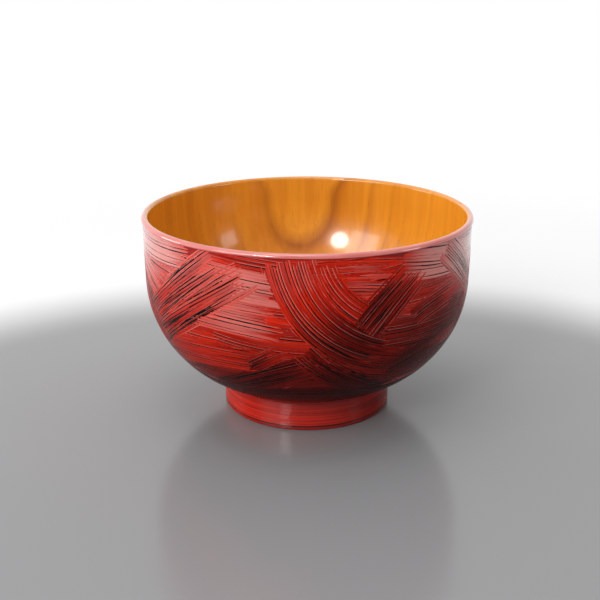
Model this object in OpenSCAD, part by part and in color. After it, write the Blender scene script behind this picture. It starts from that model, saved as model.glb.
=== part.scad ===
// Turned wooden soup bowl on a foot ring, lacquered in layers:
// red brushed over black outside, clear amber over bare wood inside.
// The origin is the centre of the resting face, with +Z up the axis of turning.

/* [Bowl] */
// Outside diameter over the rim band
rim_d = 115; // [100:1:130]
// Height from the resting face to the top of the lip
bowl_h = 71; // [64:0.5:85]

/* [Outside wall] */
// Radius of the belly's curve in section
belly_r = 40.5; // [36:0.1:44]
// Height at which the belly's curve would bottom out inside the foot
belly_bottom = 8.4; // [7:0.1:11]
// Outward lean of the upper wall, in degrees
wall_draft = 0.7; // [0:0.1:3]

/* [Lip] */
// Thickness of the finished lip
lip_t = 2.4; // [2:0.1:3.2]
// Drop of the smooth red band below the half-round of the lip
band_drop = 0.15; // [0.1:0.05:1.5]
// Step by which the band stands out from the wall
band_proud = 0.25; // [0.1:0.05:0.5]

/* [Inside] */
// Radius of the inside curve in section, kept smaller where the bowl is too low or narrow for it
inside_r = 49; // [44:0.5:52]
// Thickness of the floor between the inside and the foot's recess
floor_t = 7.5; // [5.5:0.1:9]
// Dip of the floor below the foot of the inside curve
floor_dish = 0.8; // [0.3:0.1:2]
// Outward lean of the inside wall, in degrees
inside_draft = 1.5; // [0:0.1:3]

/* [Foot] */
// Outside diameter of the foot ring
foot_d = 60; // [52:1:70]
// Width of the foot ring at its inner wall's base
foot_ring_t = 4; // [3:0.1:6]
// Height of the recess inside the foot ring
recess_h = 7; // [5:0.1:8.5]
// Slope of the recess wall, in degrees
recess_draft = 6; // [0:0.5:15]
// Rounding in the corner of the recess
recess_fillet = 2; // [1:0.1:3]
// Rounding of the foot ring's outer bottom edge
foot_edge_r = 1; // [0.6:0.1:1.4]
// Rounding of the foot ring's inner bottom edge
foot_inner_edge_r = 0.8; // [0.6:0.1:1.2]

/* [Lacquer coats] */
// Thickness of the brushed red coat on the outside wall
red_t = 0.3; // [0.1:0.05:0.4]
// Thickness of the black coat under the red
undercoat_t = 0.2; // [0.1:0.05:0.4]
// Thickness of the clear amber lining
lining_t = 0.3; // [0.1:0.05:0.4]
// Thickness of the red coat on the foot ring
foot_coat_t = 0.4; // [0.2:0.05:0.5]
// Thickness of the coat in the recess
recess_coat_t = 0.3; // [0.1:0.05:0.4]

/* [Hidden] */

// Steps along the long curves, the small roundings, and round the axis
curve_steps = 28;
edge_steps = 8;
turn_steps = 240;

rim_r = rim_d / 2;
foot_r = foot_d / 2;
coats_t = red_t + undercoat_t;

// Lip: half-round over the top, centred at lip_z
lip_round = lip_t / 2;
lip_z = bowl_h - lip_round;
band_z = lip_z - band_drop;
lip_in_r = rim_r - lip_t;

// Belly: an arc tangent to the upper wall
belly_z = belly_bottom + belly_r;
belly_c = rim_r - band_proud - (lip_z - belly_z) * tan(wall_draft) - belly_r / cos(wall_draft);

// Inside: a wall, an arc tangent to it, and a shallow dish tangent to the arc
floor_z = recess_h + floor_t;
curve_r = min(inside_r, lip_z - floor_z - floor_dish - 1, lip_in_r - 3);
inside_z = floor_z + floor_dish + curve_r;
inside_c = lip_in_r - (lip_z - inside_z) * tan(inside_draft) - curve_r / cos(inside_draft);
dish_r = inside_c * inside_c / (2 * floor_dish) + floor_dish / 2 + curve_r;
dish_z = floor_z + dish_r;
dish_angle = atan2(inside_z - dish_z, inside_c);

// Recess: a sloping wall and a rounded corner under a flat ceiling
recess_r = foot_r - foot_ring_t;
corner_z = recess_h - recess_fillet;

// Points on an arc about [c, z] from one angle to another
function arc(c, z, r, from, to, steps) =
    [for (i = [0:steps]) let (a = from + (to - from) * i / steps) [c + r * cos(a), z + r * sin(a)]];

function backwards(path) = [for (i = [len(path) - 1:-1:0]) path[i]];

function all_but_last(path) = [for (i = [0:len(path) - 2]) path[i]];

// Radius of the outside wall at a height and a depth under its surface
function wall_at(z, depth) = belly_c + (belly_r - depth) / cos(wall_draft) + (z - belly_z) * tan(wall_draft);

// Angle on the belly, at a depth under its surface, that lies at a radius
function belly_angle(radius, depth) = -acos((radius - belly_c) / (belly_r - depth));

// Outside wall at a depth, from a height down to the foot's outside radius
function wall_path(top, depth) = concat(
    [[wall_at(top, depth), top]],
    arc(belly_c, belly_z, belly_r - depth, -wall_draft, belly_angle(foot_r, depth), curve_steps));

// Inside wall at a depth, from the lip down to the axis
function inside_path(depth) = concat(
    [[lip_in_r + depth / cos(inside_draft), lip_z]],
    arc(inside_c, inside_z, curve_r + depth, -inside_draft, dish_angle, curve_steps),
    [for (i = [1:edge_steps]) let (a = dish_angle + (-90 - dish_angle) * i / edge_steps)
        [(dish_r + depth) * cos(a), dish_z + (dish_r + depth) * sin(a)]]);

// Foot ring at a depth, from the belly round both bottom edges to the base of the recess wall
function foot_path(depth) = concat(
    [[foot_r - depth, belly_z + (belly_r - coats_t) * sin(belly_angle(foot_r - depth, coats_t))]],
    arc(foot_r - foot_edge_r, foot_edge_r, foot_edge_r - depth, 0, -90, edge_steps),
    arc(recess_r + foot_inner_edge_r, foot_inner_edge_r, foot_inner_edge_r - depth, -90, -180, edge_steps));

// Radius of the recess wall at a height and a depth behind its surface
function recess_wall_at(z, depth) =
    recess_r + depth / cos(recess_draft) - (z - foot_inner_edge_r) * tan(recess_draft);

// Recess at a depth, from the base of its wall up round the corner to the axis
function recess_path(depth) = concat(
    [[recess_wall_at(foot_inner_edge_r, depth), foot_inner_edge_r]],
    arc(recess_wall_at(corner_z, -recess_fillet), corner_z, recess_fillet + depth,
        recess_draft, 90, edge_steps),
    [[0, recess_h + depth]]);

// Finished lip between two angles: 0 outside, 90 on its crest, 180 inside
function lip_path(from, to) = arc(rim_r - lip_round, lip_z, lip_round, from, to, edge_steps);

// Bare lip of the turned wood under its coats, between the same angles
wood_lip_out = wall_at(lip_z, coats_t);
wood_lip_in = lip_in_r + lining_t / cos(inside_draft);
wood_lip_round = (wood_lip_out - wood_lip_in) / 2;
function wood_lip_path(from, to) =
    arc(wood_lip_out - wood_lip_round, lip_z, wood_lip_round, from, to, edge_steps);

module turned(outline) {
    rotate_extrude($fn = turn_steps) polygon(outline);
}

// Bowl, lip and foot turned from one piece of wood
module wood_core() {
    color("#b9702c") turned(concat(
        all_but_last(wood_lip_path(180, 90)),
        all_but_last(wood_lip_path(90, 0)),
        wall_path(lip_z, coats_t),
        foot_path(foot_coat_t),
        recess_path(recess_coat_t),
        backwards(inside_path(lining_t))));
}

// Black coat on the outside wall, which shows through the strokes of the red
module black_undercoat() {
    color("#1f0d0c") turned(concat(
        wall_path(band_z, red_t),
        backwards(wall_path(band_z, coats_t))));
}

// Red coat brushed on in crossing strokes
module brushed_red_coat() {
    color("#9c1c12") turned(concat(
        wall_path(band_z, 0),
        backwards(wall_path(band_z, red_t))));
}

// Smooth red lacquer on the lip up to its crest, standing a little out from the wall
module rim_band() {
    color("#b3271a") turned(concat(
        lip_path(90, 0),
        [[rim_r, band_z], [wall_at(band_z, coats_t), band_z]],
        wood_lip_path(0, 90)));
}

// Clear amber lacquer that leaves the grain in view, from the floor up to the lip's crest
module inside_lining() {
    color("#d7791f") turned(concat(
        all_but_last(lip_path(90, 180)),
        inside_path(0),
        all_but_last(backwards(inside_path(lining_t))),
        wood_lip_path(180, 90)));
}

// Red lacquer round the foot ring and under its resting face
module foot_coat() {
    color("#86130e") turned(concat(
        foot_path(0),
        backwards(foot_path(foot_coat_t))));
}

// Dark lacquer in the recess under the bowl
module recess_coat() {
    color("#5a0f0b") turned(concat(
        recess_path(0),
        backwards(recess_path(recess_coat_t))));
}

wood_core();
black_undercoat();
brushed_red_coat();
rim_band();
inside_lining();
foot_coat();
recess_coat();
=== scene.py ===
import math

import bpy
import numpy as np
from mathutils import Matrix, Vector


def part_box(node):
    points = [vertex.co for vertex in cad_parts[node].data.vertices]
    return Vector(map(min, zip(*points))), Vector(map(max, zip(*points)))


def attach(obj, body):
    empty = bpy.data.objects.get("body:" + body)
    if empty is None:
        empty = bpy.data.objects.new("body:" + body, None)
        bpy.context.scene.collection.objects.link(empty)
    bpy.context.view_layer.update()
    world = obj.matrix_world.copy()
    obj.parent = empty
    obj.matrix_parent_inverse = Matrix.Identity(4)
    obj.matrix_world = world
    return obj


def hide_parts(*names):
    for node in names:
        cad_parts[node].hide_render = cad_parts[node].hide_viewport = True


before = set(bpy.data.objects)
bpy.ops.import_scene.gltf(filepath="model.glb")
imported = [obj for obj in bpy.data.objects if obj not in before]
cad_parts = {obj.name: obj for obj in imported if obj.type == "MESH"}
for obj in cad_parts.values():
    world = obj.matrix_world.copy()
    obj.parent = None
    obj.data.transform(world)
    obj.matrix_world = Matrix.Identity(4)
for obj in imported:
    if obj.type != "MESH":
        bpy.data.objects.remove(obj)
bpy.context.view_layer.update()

# Blank: one piece of plain-sawn hardwood, turned on a lathe with its lip and foot ring in one.
# It is out of sight under the coats, so the CAD solid stays and gets the grain of bare wood.
MM = 0.001
PITH_X = 3.3 * MM
PITH_Y = -65 * MM
TRUNK_BEND = 8.5
BEND_Z = 64.4 * MM
RING_AT = 119.2 * MM
RING_STEP = 3.2 * MM
RING_WANDER = 1.2 * MM
WOOD_YEAR = [
    (0, (0.50, 0.29, 0.12)),
    (0.10, (0.66, 0.42, 0.20)),
    (0.60, (0.60, 0.36, 0.16)),
    (0.90, (0.48, 0.27, 0.11)),
    (1, (0.30, 0.15, 0.06)),
]
WOOD_STREAK = (0.80, 0.72, 0.62)
WOOD_PORE = (0.25, 0.13, 0.05)


class Tone:
    """A socket of a finish: sums on it add Math nodes, and node() adds any other node."""

    def __init__(self, tree, socket=None):
        self.tree = tree
        self.socket = socket

    def node(self, kind, settings, sockets, output=0):
        """Add a node, with its settings first and then the values or links of its sockets."""
        made = self.tree.nodes.new(kind)
        for name, value in settings.items():
            if name == "stops":
                ramp = made.color_ramp.elements
                while len(ramp) < len(value):
                    ramp.new(1)
                for stop, (place, colour) in zip(ramp, value):
                    stop.position = place
                    stop.color = (*colour, 1)
            else:
                setattr(made, name, value)
        for name, value in sockets.items():
            if isinstance(value, Tone):
                self.tree.links.new(value.socket, made.inputs[name])
            else:
                made.inputs[name].default_value = value
        return Tone(self.tree, made.outputs[output] if made.outputs else None)

    def math(self, operation, *others):
        return self.node("ShaderNodeMath", {"operation": operation}, dict(enumerate((self, *others))))

    def __add__(self, other):
        return self.math("ADD", other)

    def __sub__(self, other):
        return self.math("SUBTRACT", other)

    def __rsub__(self, other):
        return self * -1 + other

    def __mul__(self, other):
        return self.math("MULTIPLY", other)

    def __truediv__(self, other):
        return self.math("DIVIDE", other)

    def __pow__(self, other):
        return self.math("POWER", other)

    def __abs__(self):
        return self.math("ABSOLUTE")

    __radd__ = __add__
    __rmul__ = __mul__

    def between(self, low, high):
        """0 at low and 1 at high, eased at both ends."""
        return self.node("ShaderNodeMapRange", {"interpolation_type": "SMOOTHSTEP"},
                         {"Value": self, "From Min": low, "From Max": high})

    def axes(self, names):
        """This place's coordinates along the named axes."""
        return [self.node("ShaderNodeSeparateXYZ", {}, {"Vector": self}, axis) for axis in names]

    def noise(self, scale, detail=2.0, stretch=(1, 1, 1)):
        """Noise over this place, drawn out along the axes whose stretch is small."""
        place = self.node("ShaderNodeMapping", {}, {"Vector": self, "Scale": stretch})
        return self.node("ShaderNodeTexNoise", {}, {"Vector": place, "Scale": scale, "Detail": detail})

    def blend(self, low, high, kind="MIX"):
        """One colour turning into another as this value goes from 0 to 1."""
        low, high = [c if isinstance(c, Tone) else (*c, 1) for c in (low, high)]
        return self.node("ShaderNodeMix", {"data_type": "RGBA", "blend_type": kind},
                         {0: self, 6: low, 7: high}, 2)


def new_finish(name):
    """An empty finish, and the place on the bowl that its patterns start from."""
    finish = bpy.data.materials.new(name)
    finish.use_nodes = True
    finish.node_tree.nodes.clear()
    return finish, Tone(finish.node_tree).node("ShaderNodeTexCoord", {}, {}, "Object")


def lay_on(finish, **shader):
    """Give a finish its shader, with socket names written with underscores for spaces."""
    start = Tone(finish.node_tree)
    sockets = {name.replace("_", " "): value for name, value in shader.items()}
    surface = start.node("ShaderNodeBsdfPrincipled", {}, sockets)
    start.node("ShaderNodeOutputMaterial", {}, {"Surface": surface})


def finish_solid(node, finish):
    """Give its finish to a CAD solid that stays."""
    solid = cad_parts[node]
    solid.data.materials.clear()
    solid.data.materials.append(finish)


def grain(place, growth, streak, pore):
    """Colour and fibre of the wood: growth rings about the pith, streaks along the trunk, and pores."""
    x, y, z = place.axes("XYZ")
    wander = (place.noise(22, 2, (1, 1, 0.35)) - 0.5) * RING_WANDER
    bent = y - PITH_Y + (z - BEND_Z) ** 2 * TRUNK_BEND
    beyond = ((x - PITH_X) ** 2 + bent ** 2) ** 0.5 + wander - RING_AT
    uneven = place.node("ShaderNodeCombineXYZ", {}, {"X": beyond * 130}).noise(1, 1)
    year = (beyond / RING_STEP * (0.75 + uneven * 0.5) + 60).math("FRACT")
    colour = place.node("ShaderNodeValToRGB", {"stops": growth}, {"Fac": year})

    # The rings stand out near the pith's line and melt into a plain tone on both sides of it
    middle_tone, late_tone = growth[2][1], growth[3][1]
    melt = (place.noise(31, 2, (1, 1, 0.3)) * 0.7 + abs(x - PITH_X) * 12).between(0.42, 0.85)
    colour = (melt * 0.9).blend(colour, middle_tone)
    # Broad dark streaks along the trunk, stronger towards the left of the bowl
    broad = place.noise(150, 2, (1, 1, 0.05)).between(0.42, 0.66)
    colour = (broad * (0.45 - x * 5)).blend(colour, late_tone)

    # Fibres and open pores run along the trunk, and the pores lie in the early part of each year
    fibre = place.noise(520, 3, (1, 1, 0.035)).between(0.3, 0.75)
    colour = (fibre * 0.5).blend(colour, streak, "MULTIPLY")
    open_pores = place.noise(2200, 1, (1, 1, 0.05)).between(0.64, 0.74) * year.between(0.45, 0.05)
    return (open_pores * 0.4).blend(colour, pore), fibre


bare_wood, place = new_finish("bare_wood")
wood_colour, fibre = grain(place, WOOD_YEAR, WOOD_STREAK, WOOD_PORE)
lay_on(bare_wood, Base_Color=wood_colour, Roughness=0.45 + fibre * 0.2)
finish_solid("wood_core", bare_wood)

# Lining: clear amber lacquer, rubbed on in thin coats over the bare grain and polished to a gloss.
# It covers the whole inside, from the middle of the floor up to the crest of the lip.
RIM_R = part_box("rim_band")[1].x
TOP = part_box("rim_band")[1].z
LIP_T = 2.4 * MM
LIP_ROUND = LIP_T / 2
LIP_Z = TOP - LIP_ROUND
INSIDE_R = 49 * MM
INSIDE_LEAN = math.radians(1.5)
LINING_T = 0.3 * MM
CREST_T = 0.5 * MM
CREST_END = math.radians(93.6)
FLOOR_DISH = 0.8 * MM
FLOOR_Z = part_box("inside_lining")[0].z + LINING_T
AMBER_YEAR = [
    (0, (0.40, 0.12, 0.011)),
    (0.16, (0.80, 0.335, 0.025)),
    (0.60, (0.74, 0.29, 0.021)),
    (0.84, (0.62, 0.215, 0.015)),
    (1, (0.40, 0.12, 0.011)),
]
AMBER_STREAK = (0.84, 0.74, 0.60)
AMBER_PORE = (0.24, 0.06, 0.008)


def arc(radius, height, size, start, end, steps):
    """Points of a section, in radius and height, on an arc between two angles in radians."""
    angles = np.linspace(start, end, steps + 1)
    return [(radius + size * math.cos(a), height + size * math.sin(a)) for a in angles]


def turn(name, section, closed, steps=240):
    """Spin a section of (radius, height) points about the bowl's axis into a smooth shell."""
    bpy.ops.object.select_all(action="DESELECT")
    radius, height = section[0]
    bpy.ops.mesh.primitive_plane_add(size=MM, calc_uvs=False, location=(radius, 0, height))
    bpy.ops.object.transform_apply(location=True)
    piece = bpy.context.object
    piece.name = piece.data.name = name
    bpy.ops.object.mode_set(mode="EDIT")
    bpy.ops.mesh.merge(type="CENTER")
    for (r0, z0), (r1, z1) in zip(section, section[1:] + section[:1] * closed):
        bpy.ops.mesh.extrude_vertices_move(TRANSFORM_OT_translate={"value": (r1 - r0, 0, z1 - z0)})
    bpy.ops.mesh.select_all(action="SELECT")
    bpy.ops.mesh.spin(steps=steps, angle=math.tau, center=(0, 0, 0), axis=(0, 0, 1))
    bpy.ops.mesh.select_all(action="SELECT")
    bpy.ops.mesh.remove_doubles(threshold=0.002 * MM)
    bpy.ops.mesh.normals_make_consistent(inside=False)
    bpy.ops.object.mode_set(mode="OBJECT")
    bpy.ops.object.shade_smooth_by_angle(angle=math.radians(50))
    return piece


def fit(piece, finish, node):
    """Give a piece its finish and put it on the bowl in place of a CAD node."""
    piece.data.materials.clear()
    piece.data.materials.append(finish)
    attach(piece, "root")
    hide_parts(node)


def inside_section(depth, steps):
    """Inside wall at a depth behind its face, from the middle of the floor up to the lip."""
    lip_in = RIM_R - LIP_T
    curve_z = FLOOR_Z + FLOOR_DISH + INSIDE_R
    curve_c = lip_in - (LIP_Z - curve_z) * math.tan(INSIDE_LEAN) - INSIDE_R / math.cos(INSIDE_LEAN)
    dish_r = curve_c ** 2 / (2 * FLOOR_DISH) + FLOOR_DISH / 2 + INSIDE_R
    dish_z = FLOOR_Z + dish_r
    meet = math.atan2(curve_z - dish_z, curve_c)
    middle = [(0, FLOOR_Z - depth)]
    floor = arc(0, dish_z, dish_r + depth, -math.pi / 2, meet, 8)
    curve = arc(curve_c, curve_z, INSIDE_R + depth, meet, -INSIDE_LEAN, steps)
    lip = [(lip_in + depth / math.cos(INSIDE_LEAN), LIP_Z)]
    return middle + floor[1:] + curve[1:] + lip


crest = arc(RIM_R - LIP_ROUND, LIP_Z, LIP_ROUND, math.pi, CREST_END, 8)[1:]
under_crest = [(RIM_R - LIP_ROUND, TOP - CREST_T)]
lining_section = inside_section(0, 48) + crest + under_crest + inside_section(LINING_T, 24)[::-1]
lining = turn("inside_lining_amber", lining_section, closed=False)
amber, place = new_finish("amber_lacquer")
wood_colour, fibre = grain(place, AMBER_YEAR, AMBER_STREAK, AMBER_PORE)
lay_on(amber, Base_Color=wood_colour, Roughness=0.16 + fibre * 0.06, Coat_Weight=0.5, Coat_Roughness=0.06)
fit(lining, amber, "inside_lining")

# Undercoat: black lacquer on the outside wall, laid on before the red and left to show at the strokes.
# It lies wholly under the red, so the CAD solid stays and gets a deep brown-black gloss.
BLACK = (0.010, 0.006, 0.005)
BROWN_BLACK = (0.022, 0.009, 0.007)
black_lacquer, place = new_finish("black_lacquer")
cloud = place.noise(160, 3)
lay_on(black_lacquer, Base_Color=cloud.blend(BLACK, BROWN_BLACK), Roughness=0.25 + cloud * 0.15)
finish_solid("black_undercoat", black_lacquer)

# Red ground: the first red coat, levelled over the black on the whole outside wall.
# The brush strokes are laid on it, and it only shows in the small gaps that they leave.
BELLY_R = 40.5 * MM
BELLY_BOTTOM = 8.4 * MM
WALL_LEAN = math.radians(0.7)
BAND_PROUD = 0.25 * MM
BAND_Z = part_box("rim_band")[0].z
RED_T = 0.3 * MM
GROUND_DEPTH = 0.26 * MM
FOOT_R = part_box("foot_coat")[1].x
BELLY_Z = BELLY_BOTTOM + BELLY_R
BELLY_C = RIM_R - BAND_PROUD - (LIP_Z - BELLY_Z) * math.tan(WALL_LEAN) - BELLY_R / math.cos(WALL_LEAN)
GROUND_DARK = (0.20, 0.005, 0.003)
GROUND_RED = (0.38, 0.010, 0.005)


def wall_section(depth, steps):
    """Outside wall at a depth under its face, from the rim band down to the foot."""
    top = BELLY_C + (BELLY_R - depth) / math.cos(WALL_LEAN) + (BAND_Z - BELLY_Z) * math.tan(WALL_LEAN)
    foot = -math.acos((FOOT_R - BELLY_C) / (BELLY_R - depth))
    return [(top, BAND_Z)] + arc(BELLY_C, BELLY_Z, BELLY_R - depth, -WALL_LEAN, foot, steps)


ground = turn("red_ground_coat", wall_section(GROUND_DEPTH, 40) + wall_section(RED_T, 20)[::-1], closed=True)
red_ground, place = new_finish("red_ground_lacquer")
sweep = place.noise(90, 3, (0.2, 0.2, 7)).between(0.3, 0.7)
lay_on(red_ground, Base_Color=sweep.blend(GROUND_DARK, GROUND_RED), Roughness=0.26 + sweep * 0.1,
       Specular_IOR_Level=0.18)
fit(ground, red_ground, "brushed_red_coat")

# Brush strokes: thick red lacquer drawn on with a stiff flat brush, whose bristles leave ridges.
# Once hard, it is rubbed down so that the black shows in the furrows, where the red is thinnest.
ACROSS = 0.2 * MM
ACROSS_LEVEL = 0.29 * MM
ALONG = 1.8 * MM
MEAN_R = 50 * MM
BORDER = 0.999
MOST_WORN = 0.8
LIT_SIDE = -40
# In mm, as a stroke's lift is: how far its edges go under the ground, and its top behind the rim band
BURIED = 0.08
TUCKED = 0.3
DEEP_RED = (0.42, 0.009, 0.003)
BRIGHT_RED = (0.72, 0.023, 0.006)
SHADED_RED = (0.03, 0.001, 0.001)
PAINTED_SHEEN_RED = (0.72, 0.24, 0.21)
RUBBED_RED = (0.04, 0.0015, 0.001)
FURROW_RED = (0.05, 0.002, 0.0015)
LOW_RIDGE_HIGHLIGHT = (0.30, 0.08, 0.07)
HIGH_RIDGE_HIGHLIGHT = (0.72, 0.22, 0.18)
BARED_BLACK = (0.006, 0.002, 0.002)


def on_wall(angle, climb, lift):
    """Points on the wall: degrees from the front, climb from the top of the belly, and lift off the face."""
    bend = np.where(climb > 0, -WALL_LEAN, climb / BELLY_R - WALL_LEAN)
    straight = np.maximum(climb, 0)
    reach = BELLY_C + (BELLY_R + lift) * np.cos(bend) + straight * math.sin(WALL_LEAN)
    height = BELLY_Z + (BELLY_R + lift) * np.sin(bend) + straight * math.cos(WALL_LEAN)
    turned = np.radians(angle)
    return np.stack([reach * np.sin(turned), -reach * np.cos(turned), height], axis=-1), reach


def climb_to(height):
    """Climb along the wall that reaches a height in millimetres."""
    rise = height * MM - BELLY_Z
    bend = np.arcsin(np.clip(rise / BELLY_R, -1, 1)) + WALL_LEAN
    straight = rise / math.cos(WALL_LEAN) + BELLY_R * math.tan(WALL_LEAN)
    return np.where(bend < 0, bend * BELLY_R, straight)


def ease(value, low, high):
    """0 at low and 1 at high, eased at both ends, for whole arrays."""
    share = np.clip((value - low) / (high - low), 0, 1)
    return share * share * (3 - 2 * share)


def bristles(draw, along, across, long, wide):
    """Smooth random heights from 0 to 1, in marks of one length and width."""
    u = along / long + 1
    v = (across - across.min()) / wide + 1
    lattice = draw.random((int(u.max()) + 3, int(v.max()) + 3))
    i = u.astype(int)
    j = v.astype(int)
    past_i = ease(u - i, 0, 1)
    past_j = ease(v - j, 0, 1)
    near = lattice[i, j] * (1 - past_j) + lattice[i, j + 1] * past_j
    far = lattice[i + 1, j] * (1 - past_j) + lattice[i + 1, j + 1] * past_j
    return near * (1 - past_i) + far * past_i


def close_underneath(mark, border):
    """Bridge a stroke's two long edges under it, close its ends, and smooth it."""
    bpy.ops.object.mode_set(mode="EDIT")
    bpy.ops.mesh.select_all(action="DESELECT")
    bpy.ops.object.mode_set(mode="OBJECT")
    mark.data.vertices.foreach_set("select", border)
    bpy.ops.object.mode_set(mode="EDIT")
    bpy.ops.mesh.select_mode(type="EDGE")
    bpy.ops.mesh.bridge_edge_loops()
    bpy.ops.mesh.select_mode(type="VERT")
    bpy.ops.mesh.select_all(action="SELECT")
    bpy.ops.mesh.fill_holes(sides=0)
    bpy.ops.mesh.select_all(action="SELECT")
    bpy.ops.mesh.normals_make_consistent(inside=False)
    bpy.ops.object.mode_set(mode="OBJECT")

    # So thin a ribbon may still come out inside out, which the sign of its volume tells
    if sum(face.area * face.normal.dot(face.center) for face in mark.data.polygons) < 0:
        mark.data.flip_normals()
    bpy.ops.object.shade_smooth_by_angle(angle=math.radians(60))


def stroke(number, lift, ridge_height, points, width, dark, tone, across=ACROSS):
    """One pass of the brush through three (degrees, height) points, closed underneath."""
    draw = np.random.default_rng(number)
    angle, height = np.array(points, float).T
    climb = climb_to(height)
    bow = [2 * mid - (first + last) / 2 for first, mid, last in (angle, climb)]
    length = np.hypot(np.radians(np.diff(angle)) * MEAN_R, np.diff(climb)).sum()
    bpy.ops.mesh.primitive_grid_add(x_subdivisions=max(int(length / ALONG), 6),
                                    y_subdivisions=int(width * MM / across), size=2, calc_uvs=False)
    mark = bpy.context.object
    flat = np.empty(len(mark.data.vertices) * 3)
    mark.data.vertices.foreach_get("co", flat)
    t = (flat.reshape(-1, 3)[:, 0] + 1) / 2
    side = flat.reshape(-1, 3)[:, 1]
    border = np.abs(side) > BORDER

    # Centre line of the pass, then out to each bristle's own track
    lines = list(zip((angle, climb), bow))
    way_round, way_up = [(1 - t) ** 2 * c[0] + 2 * t * (1 - t) * b + t ** 2 * c[2] for c, b in lines]
    going_round, going_up = [2 * (1 - t) * (b - c[0]) + 2 * t * (c[2] - b) for c, b in lines]
    reach = on_wall(way_round, way_up, 0)[1]
    heading = np.arctan2(going_up, np.radians(going_round) * reach)
    off = side * width * MM / 2
    track_angle = way_round - np.degrees(off * np.sin(heading) / reach)
    track_climb = way_up + off * np.cos(heading)

    # A furrow beside each bristle, in a coat that thins out towards its edges and its ragged ends
    run = t * length
    phase = off / (draw.uniform(0.85, 1.15) * MM) + 1.2 * bristles(draw, run, off, 40 * MM, 3 * MM)
    depth = bristles(draw, run, np.floor(phase), 24 * MM, 1) ** 2
    crest = np.sqrt(np.abs(2 * (phase - np.floor(phase)) - 1))
    relief = (crest - 0.7) * (0.5 + depth) + 0.5 * bristles(draw, run, off, 20 * MM, 0.4 * MM) - 0.25
    ragged = bristles(draw, run * 0, off, 1, 0.9 * MM)
    edge = ease(np.abs(side) + 0.3 * bristles(draw, run, off, 18 * MM, 0.7 * MM) - 0.15, 0.3, 1)
    begin = 1 - ease(run, 0, (1.5 + 6 * ragged) * MM)
    end = ease(run, length - (9 + 16 * ragged) * MM, length)
    thin = np.maximum(np.maximum(edge, begin), np.maximum(end, border))
    sink = (lift + GROUND_DEPTH / MM + BURIED) * thin ** 2
    raised = (lift + 1.4 * ridge_height * relief * (1 + 2 * thin) * (1 - thin ** 4) - sink) * MM

    # Wear and tone along the pass, whose start, end and edges melt into the tone of the coat round it. That
    # tone holds painted shade and a painted pale sheen, set by where the stroke lies round and up the bowl.
    shade, hue = [np.interp(t, np.linspace(0, 1, len(values)), values) for values in (dark, tone)]
    fade = ease(np.maximum(edge, end), 0.02, 0.6)
    patchy = 0.75 + 0.5 * bristles(draw, run, off, 14 * MM, 2.4 * MM)
    worn = np.minimum(shade * patchy, MOST_WORN) * (1 - 0.5 * fade)
    # Painted shade, darker away from the lit side low on the belly and darker towards the foot, and a painted
    # pale sheen high on the lit side
    away_from_light = np.sin(np.radians(way_round - LIT_SIDE)) ** 2
    painted_shade = away_from_light * ease(way_up, 8 * MM, -6 * MM)
    glow = (1 - away_from_light) ** 2 * ease(way_up, -8 * MM, 6 * MM)
    around = (0.35 + 0.6 * ease(way_up, -34 * MM, 2 * MM)) * (1 - 0.6 * painted_shade + 0.5 * glow)
    melt = np.maximum(fade, ease(run, 16 * MM, 0)) * 0.8
    # Painted shade that darkens the red further towards the foot
    hue = (hue + (0.9 * around - hue) * melt) * (0.2 + 0.8 * ease(way_up, -36 * MM, -2 * MM))

    track_climb = np.minimum(track_climb, climb_to(BAND_Z / MM + TUCKED))
    mark.data.vertices.foreach_set("co", on_wall(track_angle, track_climb, raised)[0].ravel())
    for name, values in (("depth", np.maximum(depth, 0.6 * edge)), ("worn", worn), ("tone", hue),
                         ("run", run / MM), ("phase", phase + 40 * number)):
        mark.data.attributes.new(name, "FLOAT", "POINT").data.foreach_set("value", values)
    close_underneath(mark, border)
    return mark


brushed_red, place = new_finish("brushed_red_lacquer")
x, height = place.axes("XZ")
depth, worn, tone, run, phase = [
    place.node("ShaderNodeAttribute", {"attribute_name": name}, {}, "Fac")
    for name in ("depth", "worn", "tone", "run", "phase")]

# Marks along the tracks of the bristles, from broad bands down to single hairs and short ticks
track = place.node("ShaderNodeCombineXYZ", {}, {"X": run, "Y": phase})
bands = track.noise(1, 2, (0.02, 0.45, 1))
fine = track.noise(1, 2, (0.03, 1.5, 1)) - 0.5
hairs = track.noise(1, 2, (0.05, 4.2, 1)) - 0.5
ticks = track.noise(1, 3, (0.35, 2.2, 1)) - 0.5
beside = phase.math("FRACT") - 0.5
groove = abs(beside).between(0.26, 0) * (depth * 0.9 + 0.15)
furrow = groove + fine * 1.5 + hairs * 1.2 + ticks * 0.5 - 0.12
# A painted highlight line on one side of each furrow
ridge_highlight = abs(beside - 0.3).between(0.16, 0.03) * (depth * 1.5 + ticks * 1.6).between(0.25, 0.9)

# Red from painted shade to a painted pale sheen, darker in the furrows and where it is rubbed, with painted
# highlights on the ridges up the wall
red = (bands + fine * 0.9 + hairs * 0.7).between(0.3, 0.7).blend(DEEP_RED, BRIGHT_RED)
# A tone below 1 darkens the red as painted shade, and above 1 pales it as a painted sheen
red = tone.blend(SHADED_RED, red)
red = (tone - 1).blend(red, PAINTED_SHEEN_RED)
red = (worn.between(0.25, 0.8) * 0.3).blend(red, RUBBED_RED)
red = (furrow.between(0.02, 0.42) * 0.85).blend(red, FURROW_RED)
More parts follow.
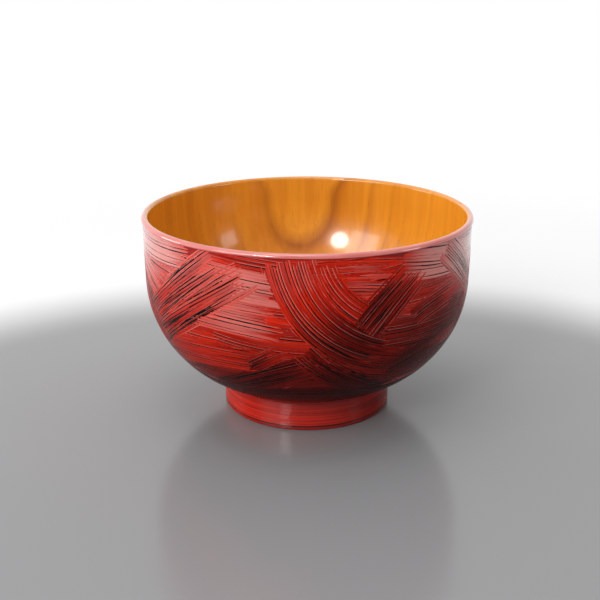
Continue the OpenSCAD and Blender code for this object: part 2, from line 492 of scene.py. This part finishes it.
# The ridge highlights are painted only up the wall
painted_ridge_highlight = (ridge_highlight + fine.between(-0.1, -0.35) * 0.6) * height.between(24 * MM, 46 * MM)
red = (painted_ridge_highlight * 0.7).blend(red, tone.blend(LOW_RIDGE_HIGHLIGHT, HIGH_RIDGE_HIGHLIGHT))
black = (furrow * 1.7 + worn).between(0.66, 0.90)
sides_shine = abs(x).between(28 * MM, 51 * MM)
top_shine = height.between(51 * MM, 65 * MM)
comb = place.node("ShaderNodeBump", {}, {
    "Height": hairs + fine - furrow * 0.5, "Strength": 1.0, "Distance": 0.25 * MM}, "Normal")
lay_on(brushed_red, Base_Color=black.blend(red, BARED_BLACK), Roughness=0.24 + hairs * 0.2, Normal=comb,
       Specular_IOR_Level=0.07, Coat_Weight=sides_shine * top_shine * (1 - black * 0.9), Coat_Roughness=0.12)


def coat_of_strokes(name, passes):
    """Lay a list of strokes one over the other and join them into one coat."""
    bpy.ops.object.select_all(action="DESELECT")
    marks = [stroke(*each) for each in passes]
    for mark in marks:
        mark.select_set(True)
    bpy.context.view_layer.objects.active = marks[0]
    bpy.ops.object.join()
    coat = bpy.context.object
    coat.name = coat.data.name = name
    fit(coat, brushed_red, "brushed_red_coat")


# First pass: long level strokes in five overlapping rows round the bowl, with painted shade that darkens them
# towards the foot.
# Each row has its height in mm, the tone of its red, and how much painted shade darkens it away from the lit
# side.
LEVEL_ROWS = ((18, 0.35, 0.5), (29, 0.6, 0.5), (41, 0.85, 0.4), (52, 0.95, 0.15), (63, 0.95, 0))
ROW_STROKES = 9
LEVEL_LIFT = -0.215
LEVEL_RIDGE = 0.02
LEVEL_WEAR = (0.2, 0.15, 0.2)
draw = np.random.default_rng(7)
level = []
for row, (height, tone, painted_shade) in enumerate(LEVEL_ROWS):
    for i in range(ROW_STROKES):
        middle = i * 360 / ROW_STROKES + row * 17 + draw.uniform(-4, 4)
        half = draw.uniform(24, 30)
        rise = draw.uniform(-3, 3)
        hump = draw.uniform(-1.5, 1)
        points = [(middle - half, height - rise), (middle, height + hump), (middle + half, height + rise)]
        width = draw.uniform(14, 17)
        shade = tone * (1 - painted_shade * math.sin(math.radians(middle - LIT_SIDE)) ** 2)
        tones = np.multiply((1, draw.uniform(0.7, 1.1), 1), shade)
        level.append((100 + 10 * row + i, LEVEL_LIFT + 0.01 * (i % 3), LEVEL_RIDGE, points, width,
                      LEVEL_WEAR, tones, ACROSS_LEVEL))
coat_of_strokes("brush_strokes_level", level)

# Last pass: bold strokes that cross on the front, then the same hand again round the sides and the back.
# Each has its number, lift and ridge height in mm, three (degrees, height) points, width in mm,
# and how far it is worn and how light its red is from its start to its end, below 1 as painted shade and
# above 1 as a painted sheen.
front = [
    (317, -0.15, 0.025, [(-104, 66.5), (-70, 65.5), (-34, 66.5)], 15, (0.05, 0.05, 0.1), (2.3, 2.4, 1.3)),
    (318, -0.165, 0.025, [(29, 66.5), (54, 63.5), (92, 61)], 18, (0.05, 0.1, 0.1), (1.6, 2.4, 2.4)),
    (322, -0.165, 0.03, [(-40, 62), (-20, 60), (4, 57)], 17, (0.1, 0.15, 0.2), (1.2, 1.7, 1.5)),
    (301, -0.15, 0.035, [(-44, 50.5), (-22, 49.6), (-3, 47)], 18, (0.2, 0.25, 0.35), (1.25, 1.5, 1.25)),
    (302, -0.15, 0.025, [(-64, 30), (-35, 34), (-8, 34)], 18, (0.15, 0.1, 0.2), (1.0, 1.1, 0.9)),
    (303, -0.15, 0.035, [(-88, 62), (-68, 56), (-50, 49)], 16, (0.2, 0.35, 0.4), (1.5, 1.5, 1.2)),
    (304, -0.16, 0.035, [(3, 63.5), (18, 62.5), (36, 60.5)], 17, (0.2, 0.25, 0.3), (1.1, 1.2, 1.1)),
    (313, -0.14, 0.02, [(-8, 65), (8, 65), (32, 66.5)], 13, (0.1, 0.05, 0.1), (0.9, 0.95, 0.95)),
    (314, -0.14, 0.03, [(26, 28.5), (41, 33.5), (64, 37)], 19, (0.6, 0.55, 0.5), (0.25, 0.15, 0.2)),
    (320, -0.145, 0.03, [(2, 41), (22, 34), (48, 28)], 24, (0.3, 0.45, 0.5), (0.7, 0.4, 0.3)),
    (319, -0.14, 0.03, [(22, 43), (50, 42.5), (82, 44)], 18, (0.45, 0.6, 0.5), (0.4, 0.3, 0.3)),
    (315, -0.14, 0.03, [(-38, 18.5), (0, 19.5), (40, 19)], 15, (0.5, 0.6, 0.6), (0.35, 0.15, 0.1)),
    (305, -0.13, 0.045, [(-2, 40.5), (12, 29), (36, 19)], 17, (0.6, 0.75, 0.7), (0.45, 0.25, 0.15)),
    (306, -0.13, 0.045, [(-38, 19), (-12, 29), (8, 35.5)], 15, (0.65, 0.8, 0.65), (0.5, 0.5, 0.5)),
    (316, -0.12, 0.05, [(-64, 34.5), (-37, 51.4), (-14, 66)], 16, (0.75, 0.65, 0.35), (0.9, 1.1, 1.6)),
    (307, -0.10, 0.05, [(-66, 41), (-45, 55.8), (-26, 69)], 15, (0.8, 0.75, 0.45), (0.9, 1.1, 1.6)),
    (321, -0.135, 0.03, [(4, 69), (12, 55), (29, 45.5)], 12, (0.1, 0.4, 0.6), (1.1, 0.9, 0.5)),
    (308, -0.095, 0.05, [(16, 43), (27, 55.5), (43, 68)], 16, (0.9, 0.8, 0.4), (0.3, 0.5, 1.5)),
    (309, -0.075, 0.05, [(-6.5, 70), (6, 47), (34, 34.5)], 22, (0.1, 0.5, 1.05, 1.0), (1.3, 0.9, 0.3, 0.15)),
    (310, -0.10, 0.035, [(35, 46.5), (46, 50.5), (64, 52)], 11, (0.5, 0.4, 0.45), (0.3, 0.4, 0.7)),
    (311, -0.10, 0.05, [(48, 69), (65, 57), (84, 43)], 16, (0.3, 0.6, 0.55), (2.6, 2.0, 0.9)),
    (312, -0.09, 0.045, [(-22, 30.5), (-12, 36.7), (-2, 41.5)], 10, (0.85, 0.75, 0.5), (0.7, 0.7, 0.7)),
]
coat_of_strokes("brush_strokes_front", front)
# The front's strokes once turned and once mirrored, kept where they fall on the sides and the back
SIDES_FROM = 78
SIDES_TO = 276
SIDES_LOWER = 0.012
sides = []
for turned, way in ((126, 1), (234, -1)):
    for number, lift, ridge_height, points, width, dark, tone in front:
        shift = draw.uniform(-5, 5)
        rise = draw.uniform(-2, 1)
        points = [(turned + way * angle + shift, height + rise) for angle, height in points]
        if SIDES_FROM < points[1][0] < SIDES_TO:
            sides.append((number + turned, lift - SIDES_LOWER, ridge_height, points, width, dark, tone))
coat_of_strokes("brush_strokes_sides", sides)

# Rim band: a smooth bead of red lacquer on the lip up to its crest, a hair proud of the brushed wall.
# Its lower edge is a clean line where it was masked off.
BAND_EDGE = 0.1 * MM
BAND_T = 0.8 * MM
BAND_END = math.radians(99)
BAND_UNDER = 0.4 * MM
BAND_RED = (0.44, 0.014, 0.007)
LIP_SHEEN_PINK = (0.60, 0.13, 0.11)
LIP_SHEEN_PALE = (0.68, 0.20, 0.18)
rim_section = (
    arc(RIM_R - BAND_EDGE, BAND_Z + BAND_EDGE, BAND_EDGE, -math.pi / 2, 0, 4)
    + arc(RIM_R - LIP_ROUND, LIP_Z, LIP_ROUND, 0, BAND_END, 16)
    + [(RIM_R - LIP_ROUND - BAND_EDGE, TOP - BAND_UNDER), (RIM_R - BAND_T, LIP_Z), (RIM_R - BAND_T, BAND_Z)])
rim = turn("rim_band_red", rim_section, closed=True, steps=360)
smooth_red, place = new_finish("smooth_red_lacquer")
cloud = place.noise(70, 3, (1, 1, 12))
height = place.axes("Z")[0]
# A painted pale pink sheen over the top of the lip's round, where it faces up
painted_lip_sheen = cloud.between(0.3, 0.7).blend(LIP_SHEEN_PINK, LIP_SHEEN_PALE)
on_lip = height.between(LIP_Z - 0.1 * MM, LIP_Z + 0.35 * MM)
lay_on(smooth_red, Base_Color=on_lip.blend(BAND_RED, painted_lip_sheen), Roughness=0.12 + cloud * 0.08,
       Coat_Weight=0.9, Coat_Roughness=0.05)
fit(rim, smooth_red, "rim_band")

# Foot coat: red lacquer brushed round and round the foot ring while it turned, over its resting face too.
# A small cove of lacquer eases it into the belly.
COVE = 1.2 * MM
FOOT_EDGE = 1 * MM
FOOT_INNER_EDGE = 0.8 * MM
FOOT_COAT_T = 0.4 * MM
FOOT_RING_T = 4 * MM
RECESS_R = FOOT_R - FOOT_RING_T
FOOT_BACK_R = FOOT_R - FOOT_COAT_T
FOOT_SOLE_T = 0.9 * MM
MARK_STEP = 0.22 * MM
MARK_DEPTH = 0.07 * MM
SMOOTHING = (0.25, 0.5, 0.25)
FOOT_DARK = (0.30, 0.008, 0.004)
FOOT_RED = (0.66, 0.022, 0.008)
FOOT_SHADE = (0.13, 0.003, 0.002)
FOOT_BLACK = (0.014, 0.005, 0.004)
cove_z = BELLY_Z - math.sqrt((BELLY_R + COVE) ** 2 - (FOOT_R + COVE - BELLY_C) ** 2)
cove_top = math.atan2(BELLY_Z - cove_z, BELLY_C - FOOT_R - COVE)
draw = np.random.default_rng(11)
heights = np.arange(cove_z - 0.2 * MM, FOOT_EDGE, -MARK_STEP)
marks = np.convolve(draw.random(len(heights) + 2), SMOOTHING, "valid") * MARK_DEPTH
foot_section = (
    arc(FOOT_R + COVE, cove_z, COVE, cove_top, math.pi, 10)
    + [(FOOT_R - depth, height) for depth, height in zip(marks, heights)]
    + arc(FOOT_R - FOOT_EDGE, FOOT_EDGE, FOOT_EDGE, 0, -math.pi / 2, 8)
    + arc(RECESS_R + FOOT_INNER_EDGE, FOOT_INNER_EDGE, FOOT_INNER_EDGE, -math.pi / 2, -math.pi, 8)
    + [(RECESS_R + FOOT_COAT_T, FOOT_INNER_EDGE), (RECESS_R + FOOT_COAT_T, FOOT_SOLE_T),
       (FOOT_BACK_R - 0.5 * MM, FOOT_SOLE_T), (FOOT_BACK_R, 1.6 * MM),
       (FOOT_BACK_R, cove_z), (FOOT_R, cove_z + 1.8 * MM)])
foot = turn("foot_ring_red", foot_section, closed=True)
foot_red, place = new_finish("foot_red_lacquer")
x, height = place.axes("XZ")
lines = place.noise(100, 3, (0.12, 0.12, 11))
hairs = place.noise(100, 2, (0.2, 0.2, 30))
red = lines.between(0.3, 0.7).blend(FOOT_DARK, FOOT_RED)
# Painted shade on the right side of the foot
red = (x.between(0, 26 * MM) * 0.55).blend(red, FOOT_SHADE)
scored = height.between(1.3 * MM, 1.6 * MM) * height.between(2.1 * MM, 1.8 * MM)
worn = hairs.between(0.56, 0.72) * lines.between(0.62, 0.4) + scored * hairs.between(0.35, 0.5) * 0.8
bump = place.node("ShaderNodeBump", {}, {"Height": hairs, "Strength": 1.0, "Distance": 0.3 * MM}, "Normal")
lay_on(foot_red, Base_Color=worn.between(0, 1).blend(red, FOOT_BLACK), Roughness=0.2 + hairs * 0.12,
       Normal=bump, Specular_IOR_Level=0.12, Coat_Weight=abs(x).between(22 * MM, 8 * MM), Coat_Roughness=0.15)
fit(foot, foot_red, "foot_coat")

# Recess coat: dark red lacquer brushed round inside the foot ring, under the bowl.
# It is the plainest coat, with a satin gloss and the rings that the brush left.
RECESS_H = 7 * MM
RECESS_LEAN = math.radians(6)
RECESS_FILLET = 2 * MM
RECESS_COAT_T = 0.3 * MM
RECESS_RINGS = 60
RING_DEPTH = 0.05 * MM
RECESS_DARK = (0.13, 0.007, 0.005)
RECESS_RED = (0.26, 0.014, 0.008)


def recess_section(depth, steps):
    """Recess at a depth behind its face, from the base of its wall up to the middle of the ceiling."""
    corner_z = RECESS_H - RECESS_FILLET
    lean_in = (corner_z - FOOT_INNER_EDGE) * math.tan(RECESS_LEAN)
    corner_r = RECESS_R - RECESS_FILLET / math.cos(RECESS_LEAN) - lean_in
    base = RECESS_R + depth / math.cos(RECESS_LEAN)
    corner = arc(corner_r, corner_z, RECESS_FILLET + depth, RECESS_LEAN, math.pi / 2, 10)
    ceiling = [(corner_r * (1 - i / steps), RECESS_H + depth) for i in range(1, steps + 1)]
    return [(base, FOOT_INNER_EDGE)] + corner + ceiling


face = recess_section(0, RECESS_RINGS)
ripple = np.convolve(draw.random(RECESS_RINGS + 2), SMOOTHING, "valid") * RING_DEPTH
face[-RECESS_RINGS:] = [(r, z + d) for (r, z), d in zip(face[-RECESS_RINGS:], ripple)]
recess = turn("recess_coat_dark_red", face[::-1] + recess_section(RECESS_COAT_T, 6), closed=False)
recess_red, place = new_finish("recess_lacquer")
x, y = place.axes("XY")
ring = (x ** 2 + y ** 2) ** 0.5
rounds = place.node("ShaderNodeCombineXYZ", {}, {"X": ring * 900, "Y": x * 14, "Z": y * 14}).noise(1, 3)
lay_on(recess_red, Base_Color=rounds.between(0.3, 0.7).blend(RECESS_DARK, RECESS_RED),
       Roughness=0.3 + rounds * 0.15)
fit(recess, recess_red, "recess_coat")

# Table: a plain pale satin sheet that the bowl stands on, grey round the bowl and white further off.
# It catches the bowl's shadow and is no part of the bowl.
TABLE_SIZE = 12
TABLE_MIDDLE = (0, -0.1, 0)
TABLE_GREY = (0.25, 0.25, 0.255)
TABLE_WHITE = (0.85, 0.85, 0.85)


def ray_is(start, *kinds):
    """1 for a ray of one of these kinds, and 0 for any other."""
    rays = [start.node("ShaderNodeLightPath", {}, {}, f"Is {kind} Ray") for kind in kinds]
    seen = rays[0]
    for ray in rays[1:]:
        seen = seen.math("MAXIMUM", ray)
    return seen


bpy.ops.object.select_all(action="DESELECT")
bpy.ops.mesh.primitive_grid_add(x_subdivisions=8, y_subdivisions=8, size=TABLE_SIZE, location=(0, 0, 0))
table = bpy.context.object
table.name = "floor"
pale_floor, place = new_finish("pale_floor")
away = place.node("ShaderNodeVectorMath", {"operation": "DISTANCE"}, {0: place, 1: TABLE_MIDDLE}, "Value")
sheet = place.node("ShaderNodeBsdfPrincipled", {}, {
    "Base Color": away.between(0.19, 0.26).blend(TABLE_GREY, TABLE_WHITE), "Roughness": 0.16})
white = place.node("ShaderNodeEmission", {}, {"Strength": 1.0})
far_off = away.between(0.25, 0.5) * ray_is(place, "Camera", "Glossy", "Transmission")
surface = place.node("ShaderNodeMixShader", {}, {0: far_off, 1: sheet, 2: white})
place.node("ShaderNodeOutputMaterial", {}, {"Surface": surface})
table.data.materials.append(pale_floor)

# Light: a white room that is brightest behind the bowl to the left and dims towards the camera,
# with five soft lamps round the bowl. The camera sees the room as plain white, and so does a mirror
# that faces its lowest part.
WINDOW_WAY = (-0.55, 0.65, 0.52)
ROOM_DIM = (0.08, 0.08, 0.085)
WHITE = (1.0, 1.0, 1.0)
scene = bpy.context.scene
room = bpy.data.worlds.new("room")
scene.world = room
room.use_nodes = True
room.node_tree.nodes.clear()
way = Tone(room.node_tree).node("ShaderNodeTexCoord", {}, {}, "Generated")
window = way.node("ShaderNodeVectorMath", {"operation": "DOT_PRODUCT"}, {0: way, 1: WINDOW_WAY}, "Value")
up = way.axes("Z")[0]
mirrored = up.between(0.17, 0.09) * ray_is(way, "Glossy", "Transmission")
plain_white = ray_is(way, "Camera").math("MAXIMUM", mirrored)
room_light = window.between(-0.8, 0.7).blend(ROOM_DIM, WHITE)
glow = way.node("ShaderNodeBackground", {}, {"Color": plain_white.blend(room_light, WHITE)})
way.node("ShaderNodeOutputWorld", {}, {"Surface": glow})


def lamp(name, place, aim, shape, wide, high, watts):
    """A soft lamp at a place, facing a point."""
    data = bpy.data.lights.new(name, "AREA")
    data.shape = shape
    data.size = wide
    data.size_y = high
    data.energy = watts
    made = bpy.data.objects.new(name, data)
    scene.collection.objects.link(made)
    made.location = place
    back = np.subtract(place, aim)
    tilt = math.atan2(math.hypot(back[0], back[1]), back[2])
    made.rotation_euler = (tilt, 0, math.atan2(back[0], -back[1]))


lamp("key_lamp", (-0.80, -0.62, 0.62), (0, 0, 0.04), "RECTANGLE", 0.5, 0.5, 3.3)
lamp("top_lamp", (-0.10, -0.15, 1.10), (0, 0, 0.07), "RECTANGLE", 0.5, 0.5, 2)
lamp("left_lamp", (-0.85, 0.15, 0.16), (0, 0, 0.05), "RECTANGLE", 0.3, 0.3, 1.2)
lamp("right_lamp", (0.837, -0.303, 0.238), (0, 0, 0.06), "RECTANGLE", 0.22, 0.36, 0.75)
lamp("spot_lamp", (-0.53, -0.918, 0.61), (0, 0, 0.05), "ELLIPSE", 0.3, 0.3, 4.5)

# Camera: straight in front of the bowl at the photograph's angle, looking down over the near lip,
# with the lens that gives the photograph's frame.
view = bpy.data.cameras.new("camera")
view.lens = 58.38
view.sensor_width = 36
camera = bpy.data.objects.new("camera", view)
scene.collection.objects.link(camera)
camera.location = (-0.0025, -0.332, 0.151)
camera.rotation_euler = (math.radians(71.12), 0, 0)
scene.camera = camera
scene.view_settings.view_transform = "Standard"
